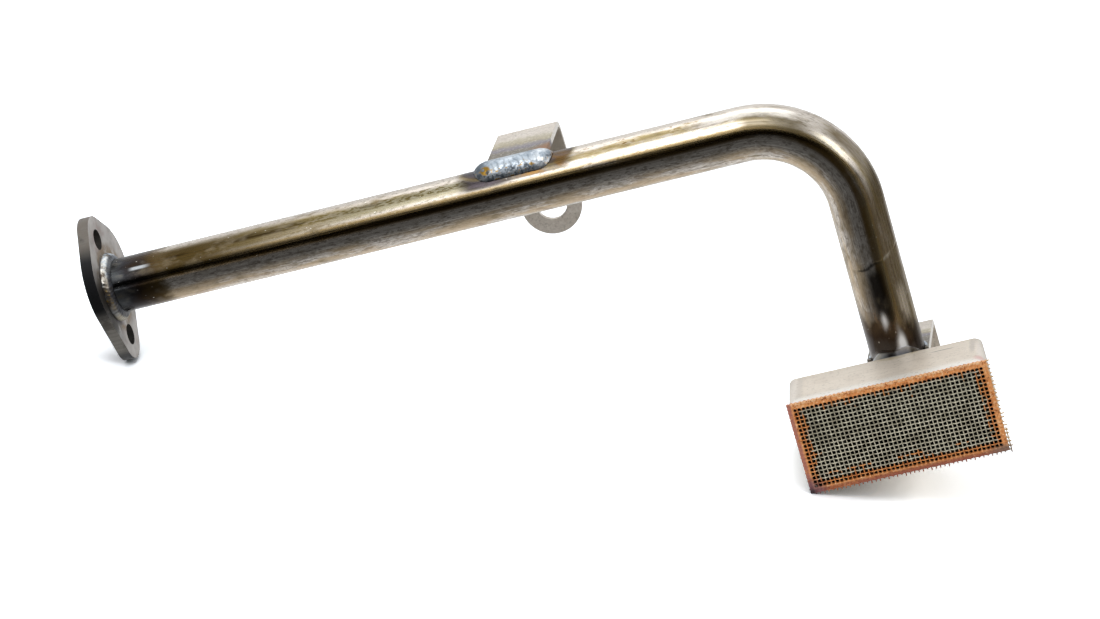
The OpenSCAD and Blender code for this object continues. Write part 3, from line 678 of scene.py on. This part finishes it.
# pitch and widths in millimetres, height and voxel in metres, and each bead's own stains and painted light
beads = {
    "flange": {
        "Pitch": 1.7, "Height": 0.00026, "Bow": 0.5, "Uneven": 1.4, "meanR": 13.0, "voxel": 0.0003, "fan": 3.0,
        "stains": [
            ("#8f8371", 0.85, [("fume", 0.44, 0.58)]), ("#4a4038", 0.85, [("patch", 0.5, 0.62)]),
            ("#78736b", 0.7, [("z", 3, -5), ("fume", 0.62, 0.5)]),
            ("#a88a3c", 0.8, [("pit", 0.55, 0.62), ("z", 5, 2), ("z", -6, -3)]), ("#a39c8a", 0.75, [("z", -7, -11)]),
            # a painted highlight on the bead's top front, and blue-grey at its toe
            ("#ece9de", 0.5, [("z", 4, 9), ("y", 2, -3), ("pit", 0.6, 0.46)]), ("#3b3f47", 0.85, [("x", 6.5, 7.4)]),
        ],
    },
    "middle": {
        "Pitch": 2.6, "Height": 0.0002, "Bow": 0.9, "Slant": 1.1, "Uneven": 1.9, "voxel": 0.0003,
        "lineY": -3.5, "half": 5.5,
        "stains": [
            # dark left end, and painted shade on the bead's lower side
            ("#4b545c", 0.85, [("x", 171.5, 166.0)]), ("#7f8184", 0.6, [("z", 12.6, 10.8)]),
            ("#8a6a1c", 0.95, [("pool", 2.6, 1.7), ("pit", 0.3, 0.44)]),
            ("#9a7a3a", 0.9, [("z", 12.8, 11.6), ("pit", 0.58, 0.64)]),
            ("#3c444b", 0.8, [("z", 12.9, 11.3), ("pit", 0.54, 0.4)]),
            ("#dfe4e8", 0.5, [("x", 186.0, 193.0), ("patch", 0.62, 0.46)]), ("#8c6a34", 0.8, [("x", 195.8, 197.2)]),
        ],
    },
    "rear": {
        "Pitch": 1.8, "Height": 0.00012, "Bow": 0.5, "Uneven": 0.8, "voxel": 0.00022,
        "stains": [("#8f7440", 0.7, [("fume", 0.5, 0.62)])],
    },
    "box": {
        "Pitch": 3.4, "Height": 0.00003, "Bow": 0.5, "Uneven": 1.4, "voxel": 0.00028, "flush": 0.45, "front": 0.3,
        "stains": [
            ("#6d6761", 0.85, [("fume", -1.0, 0.0)]), ("#3a332d", 0.8, [("fume", 0.48, 0.62)]),
            # silver bands that carry the painted highlights of the burnt spots down over the bead
            ("#c3c8cf", 0.7, [("fume", 0.44, 0.34)]), ("#d3d7da", 0.85, [("x", legX - 2, legX - 6)]),
            ("#d8d8dc", 0.85, [("x", legX - 0.5, legX + 1), ("x", legX + 7, legX + 5)]),
            ("#8c7448", 0.8, [("x", legX - 10.2, legX - 11.2)]),
            ("#352b23", 0.95, [("z", -99.7, -98.7), ("x", legX + 3, legX)]),
        ],
    },
}


def roundLeg(x, y, z):
    return math.atan2(y, x - legX) * part["tubeR"]


makeBead("flangeBead", "flange_weld", beads["flange"],
         lambda x, y, z: math.atan2(z, y) * beads["flange"]["meanR"],
         lambda x, y, z: math.atan2(math.hypot(y, z) - part["tubeR"], x - part["flangeT"]) / (math.pi / 4) - 1)
makeBead("middleBead", "middle_bracket_weld", beads["middle"],
         lambda x, y, z: x, lambda x, y, z: (y - beads["middle"]["lineY"]) / beads["middle"]["half"])
makeBead("rearBead", "rear_bracket_weld", beads["rear"], roundLeg, lambda x, y, z: 0.0)
makeBead("boxBead", "box_weld", beads["box"], roundLeg, lambda x, y, z: 0.0)
print("weld beads rippled")

# copper braze: orange, gone rose at the left and the bottom, and purple in the hottest corner
copperBraze = {
    "base": "#e99a58", "metallic": 0.12, "roughness": ("patch", 0.3, 0.7, 0.3, 0.46), "bumps": [("grit", 0.05, 0.5)],
    "patterns": {"patch": ((4.0, 4.0, 4.0), 4.0), "grit": ((1.0, 1.0, 1.0), 2.0)},
    "voxel": 0.00034, "lump": 0.00034, "lumpScale": 420.0, "sunk": 0.55, "weave": 0.00017,
    "outer": 1.4, "band": 2.8, "inner": 6.0,  # the band's inner edge moves, the rest closes up
    "widths": {"left": 2.1, "right": 2.1, "low": 2.1, "high": 2.2},  # up to the first open row of the cloth
}
# plain-woven wire cloth, 46 openings over the width of the box, ends left as they were snipped
wireCloth = {
    "base": "#d8d3be", "metallic": 0.4, "roughness": ("patch", 0.3, 0.7, 0.24, 0.38), "bumps": [("grit", 0.02, 0.3)],
    "patterns": {"patch": ((4.0, 4.0, 4.0), 4.0), "grit": ((0.5, 0.5, 0.5), 2.0), "creep": ((6.0, 6.0, 6.0), 3.0)},
    "across": 46, "down": 22, "diameter": 0.00053, "planeY": -0.04085, "wander": 0.00016, "sides": 6, "stepsPerGap": 4,
    "left": 0.0004, "right": 0.0013, "rightLow": 0.0017, "top": 0.0005, "bottom": 0.0012, "seed": 7,
    "snip": (0.55, 1.1), "driftScale": 70.0, "strand": {"out": 0.45, "length": 0.24, "steps": 40},
    # how far the copper reached in on each side, and how much further along single wires
    "crept": {"left": 1.5, "right": 0.6, "low": 1.6}, "wickPower": 2.6, "wickReach": (0.4, 0.65, 0.8, 6.5),
    "bareFrom": (2.0, 3.4), "dull": "#aaa48f", "dullFrom": (0.42, 0.68),
}
copperCoats = [
    ("#eba868", 0.75, [("patch", 0.46, 0.64)]), ("#b8642b", 0.7, [("patch", 0.44, 0.32)]),
    ("#f7ca98", 0.75, [("grit", 0.54, 0.64)]), ("#fbd0a0", 0.7, [("high", 0.9, 0.2), ("grit", 0.42, 0.54)]),
    ("#7f3d17", 0.65, [("grit", 0.44, 0.34)]), ("#bc796b", 0.9, [("left", 1.8, 0.9), ("patch", 0.3, 0.46)]),
    ("#984a2f", 0.75, [("low", 2.6, 0.8), ("patch", 0.3, 0.5)]),
    ("#a4604e", 0.85, [("low", 1.4, 0.2), ("x", 275, 290)]),
    ("#cbb78c", 0.8, [("right", 0.2, -0.3)]), ("#8a7363", 0.8, [("right", 12, 2), ("low", 4.0, 1.5)]),
    ("#7a5460", 0.8, [("corner", 9.0, 3.5)]), ("#2c2026", 0.9, [("corner", 3.4, 1.6)]),
]


# each side of the rim: its axis, where it is, and which way is inwards
rimSides = {"left": ("x", part["boxLeft"], 1.0), "right": ("x", part["boxRight"], -1.0),
            "low": ("z", part["boxFloor"], 1.0), "high": ("z", part["boxTop"], -1.0)}


def borderFields(tree, field):
    # millimetres in from each side of the rim, and from its burnt corner
    for side, (axis, edge, way) in rimSides.items():
        field[side] = addNode(tree, calc, "MULTIPLY_ADD", [field[axis], way, -way * edge])
    burnt = (part["boxLeft"], part["rimY"], part["boxFloor"])
    field["corner"] = addNode(tree, vectorCalc, "DISTANCE", [field["spot"], burnt])


def brazeMaterial(look):
    material, tree, shader, field = startMaterial("copper braze", look)
    borderFields(tree, field)
    finishMaterial(tree, shader, field, look, copperCoats)
    return material


def wireMaterial(look, braze):
    # bright drawn wire, coppered as far as the braze crept along each one
    material, tree, shader, field = startMaterial("drawn steel wire cloth", look)
    borderFields(tree, field)
    edge = field["high"]  # the copper reached further in at the left and the bottom
    for side, extra in look["crept"].items():
        edge = addNode(tree, calc, "MINIMUM", [edge, addNode(tree, calc, "SUBTRACT", [field[side], extra])])
    wick = addNode(tree, "ShaderNodeAttribute", {"attribute_name": "wick"}, {}).node.outputs["Fac"]
    damp = addNode(tree, calc, "MULTIPLY", [
        addNode(tree, calc, "POWER", [wick, look["wickPower"]]),
        addNode(tree, spread, soft, [field["creep"], *look["wickReach"]])])
    field["steel"] = addNode(tree, calc, "SUBTRACT", [edge, damp])
    coats = [(braze["base"], 1.0, [("patch", -1.0, 0.0)]), *copperCoats]
    dull = addNode(tree, spread, soft, [field["patch"], *look["dullFrom"], 0.0, 1.0])
    steel = addNode(tree, mixer, paint, {0: dull, 6: linear(look["base"]), 7: linear(look["dull"])})
    coats.append((steel, 1.0, [("steel", *look["bareFrom"])]))
    finishMaterial(tree, shader, field, look, coats)
    return material


def weaveTree(look, material):
    # wires both ways, each bent over and under the others, with snipped ends and one loose strand
    tree, sizes = newTree("woven wires", {
        "Across": 46, "Down": 22, "Width": 0.08, "Height": 0.04, "Diameter": 0.0006, "Left": 0.001, "Right": 0.001,
        "RightLow": 0.001, "Top": 0.001, "Bottom": 0.001, "Wander": 0.0002, "Seed": 1, "Corner": (0.0, 0.0, 0.0)})
    radius = addNode(tree, calc, "MULTIPLY", [sizes["Diameter"], 0.5])
    profile = addNode(tree, "GeometryNodeCurvePrimitiveCircle", {"mode": "RADIUS"}, {
        "Resolution": look["sides"], "Radius": radius})
    spot = addNode(tree, "GeometryNodeInputPosition", {}, {})
    axes = addNode(tree, separate, {}, [addNode(tree, vectorCalc, "SUBTRACT", [spot, sizes["Corner"]])]).node.outputs
    pitchX = addNode(tree, calc, "DIVIDE", [sizes["Width"], sizes["Across"]])
    pitchZ = addNode(tree, calc, "DIVIDE", [sizes["Height"], sizes["Down"]])
    waves = [addNode(tree, calc, "COSINE", [addNode(tree, calc, "MULTIPLY", [
        addNode(tree, calc, "DIVIDE", [axes[a], pitch]), math.pi])]) for a, pitch in (("X", pitchX), ("Z", pitchZ))]
    crimp = addNode(tree, calc, "MULTIPLY", [addNode(tree, calc, "MULTIPLY", waves), radius])
    drift = addNode(tree, noise, {}, {"Vector": spot, "Scale": look["driftScale"], "Detail": 1.0}).node.outputs["Color"]
    drift = addNode(tree, vectorCalc, "SCALE", {
        0: addNode(tree, vectorCalc, "SUBTRACT", [drift, (0.5, 0.5, 0.5)]), "Scale": sizes["Wander"]})
    # right-hand ends grow longer towards the bottom
    lower = addNode(tree, spread, {}, [axes["Z"], 0.0, sizes["Height"], 1.0, 0.0])
    longer = addNode(tree, calc, "SUBTRACT", [sizes["RightLow"], sizes["Right"]])
    longer = addNode(tree, calc, "MULTIPLY_ADD", [lower, longer, sizes["Right"]])
    ranks = (
        # axis, span, wires, their spacing, other spacing's count, end lengths
        (0, sizes["Width"], sizes["Down"], pitchZ, sizes["Across"], sizes["Left"], longer),
        (2, sizes["Height"], sizes["Across"], pitchX, sizes["Down"], sizes["Bottom"], sizes["Top"]),
    )
    wires = []
    for axis, span, count, pitch, gaps, tailStart, tailEnd in ranks:
        line = addNode(tree, "GeometryNodeCurvePrimitiveLine", {}, {
            "Start": (0.0, 0.0, 0.0), "End": addNode(tree, combine, {}, {axis: span})})
        line = addNode(tree, "GeometryNodeResampleCurve", {}, {
            "Curve": line, "Count": addNode(tree, calc, "MULTIPLY_ADD", [gaps, look["stepsPerGap"], 1])})
        points = addNode(tree, "GeometryNodeMeshLine", {}, {
            "Count": addNode(tree, calc, "ADD", [count, 1 if axis == 0 else 0]), "Start Location": sizes["Corner"],
            "Offset": addNode(tree, combine, {}, {2 - axis: pitch})})
        rank = addNode(tree, "GeometryNodeInstanceOnPoints", {}, {"Points": points, "Instance": line})
        rank = addNode(tree, "GeometryNodeRealizeInstances", {}, [rank])
        if axis == 2:  # a strand that came loose outside the lower right edge
            start = addNode(tree, vectorCalc, "ADD", [sizes["Corner"], addNode(tree, combine, {}, [
                addNode(tree, calc, "MULTIPLY_ADD", [pitchX, look["strand"]["out"], sizes["Width"]])])])
            strand = addNode(tree, "GeometryNodeCurvePrimitiveLine", {}, {
                "Start": start, "End": addNode(tree, vectorCalc, "ADD", [start, addNode(tree, combine, {}, {
                    2: addNode(tree, calc, "MULTIPLY", [sizes["Height"], look["strand"]["length"]])})])})
            strand = addNode(tree, "GeometryNodeResampleCurve", {}, {
                "Curve": strand, "Count": look["strand"]["steps"]})
            both = addNode(tree, "GeometryNodeJoinGeometry", {}, [rank]).node
            tree.links.new(strand, both.inputs[0])
            rank = both.outputs[0]
        over = addNode(tree, calc, "MULTIPLY", [crimp, 1.0 if axis == 0 else -1.0])
        bend = addNode(tree, vectorCalc, "ADD", [drift, addNode(tree, combine, {}, {1: over})])
        rank = addNode(tree, place, {}, {0: rank, "Offset": bend})
        for atStart, tail in ((1, tailStart), (0, tailEnd)):
            chosen = addNode(tree, "GeometryNodeCurveEndpointSelection", {}, [atStart, 1 - atStart])
            shortest, longest = look["snip"]
            cut = addNode(tree, random, {"data_type": "FLOAT"}, {2: shortest, 3: longest, "Seed": sizes["Seed"]})
            reach = addNode(tree, calc, "MULTIPLY", [tail, cut])
            reach = addNode(tree, calc, "MULTIPLY", [reach, -1.0 if atStart else 1.0])
            rank = addNode(tree, place, {}, {
                0: rank, "Selection": chosen, "Offset": addNode(tree, combine, {}, {axis: reach})})
        wick = addNode(tree, random, {"data_type": "FLOAT"}, {2: 0.0, 3: 1.0, "Seed": sizes["Seed"]})
        rank = addNode(tree, "GeometryNodeStoreNamedAttribute", {"data_type": "FLOAT", "domain": "CURVE"}, {
            0: rank, "Name": "wick", "Value": wick})
        wires.append(addNode(tree, "GeometryNodeCurveToMesh", {}, {
            "Curve": rank, "Profile Curve": profile, "Fill Caps": True}))
    joined = addNode(tree, "GeometryNodeJoinGeometry", {}, [wires[0]]).node
    tree.links.new(wires[1], joined.inputs[0])
    closeTree(tree, joined.outputs[0], material)
    return tree


def brazeTree(look, material):
    # braze that has flowed over the cloth: lumps, and the weave showing through
    tree, sizes = newTree("braze flow", {
        "Lump": 0.0003, "Weave": 0.0001, "PitchX": 0.0017, "PitchZ": 0.0017, "Corner": (0.0, 0.0, 0.0)})
    spot = addNode(tree, "GeometryNodeInputPosition", {}, {})
    axes = addNode(tree, separate, {}, [addNode(tree, vectorCalc, "SUBTRACT", [spot, sizes["Corner"]])]).node.outputs
    waves = [addNode(tree, calc, "COSINE", [addNode(tree, calc, "MULTIPLY", [
        addNode(tree, calc, "DIVIDE", [axes[a], sizes["Pitch" + a]]), 2 * math.pi])]) for a in "XZ"]
    weave = addNode(tree, calc, "MULTIPLY", [addNode(tree, calc, "ADD", waves), sizes["Weave"]])
    lumps = addNode(tree, noise, {}, {"Vector": spot, "Scale": look["lumpScale"], "Detail": 3.0})
    lump = addNode(tree, calc, "MULTIPLY", [addNode(tree, calc, "SUBTRACT", [lumps, look["sunk"]]), sizes["Lump"]])
    offset = addNode(tree, vectorCalc, "SCALE", {
        0: addNode(tree, "GeometryNodeInputNormal", {}, {}), "Scale": addNode(tree, calc, "ADD", [weave, lump])})
    closeTree(tree, addNode(tree, place, {}, {0: sizes["Geometry"], "Offset": offset}), material)
    return tree


def flowBorder(mesh, look):
    # the braze ran to the first open row of the cloth
    spots = np.empty(len(mesh.vertices) * 3)
    mesh.vertices.foreach_get("co", spots)
    spots = spots.reshape(-1, 3) * 1000
    for side, (axis, edge, way) in rimSides.items():
        line = spots[:, "xyz".index(axis)]
        depth = (line - edge) * way
        was, now = ([0.0, look["outer"], width, look["inner"]] for width in (look["band"], look["widths"][side]))
        moved = np.interp(depth, was, now)
        near = (depth > 0) & (depth < look["inner"])
        line[near] = edge + way * moved[near]
    mesh.vertices.foreach_set("co", (spots * mm).ravel())
    mesh.update()
    return mesh


boxCorner = (part["boxLeft"] * mm, wireCloth["planeY"], part["boxFloor"] * mm)
boxWidth = (part["boxRight"] - part["boxLeft"]) * mm
boxHeight = (part["boxTop"] - part["boxFloor"]) * mm
clothSizes = {label[0].upper() + label[1:]: wireCloth[label] for label in (
    "across", "down", "diameter", "left", "right", "rightLow", "top", "bottom", "wander", "seed")}
screen = grow("wovenScreen", weaveTree(wireCloth, wireMaterial(wireCloth, copperBraze)), {
    **clothSizes, "Width": boxWidth, "Height": boxHeight, "Corner": boxCorner})
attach(screen, "root")
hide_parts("screen")
braze = grow("brazeBorder", brazeTree(copperBraze, brazeMaterial(copperBraze)), {
    "Lump": copperBraze["lump"], "Weave": copperBraze["weave"], "PitchX": boxWidth / wireCloth["across"],
    "PitchZ": boxHeight / wireCloth["down"], "Corner": boxCorner},
    flowBorder(finerCopy("braze_frame", copperBraze["voxel"]), copperBraze))
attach(braze, "root")
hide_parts("braze_frame")
print("screen woven and brazed:", len(screen.data.polygons), "faces")
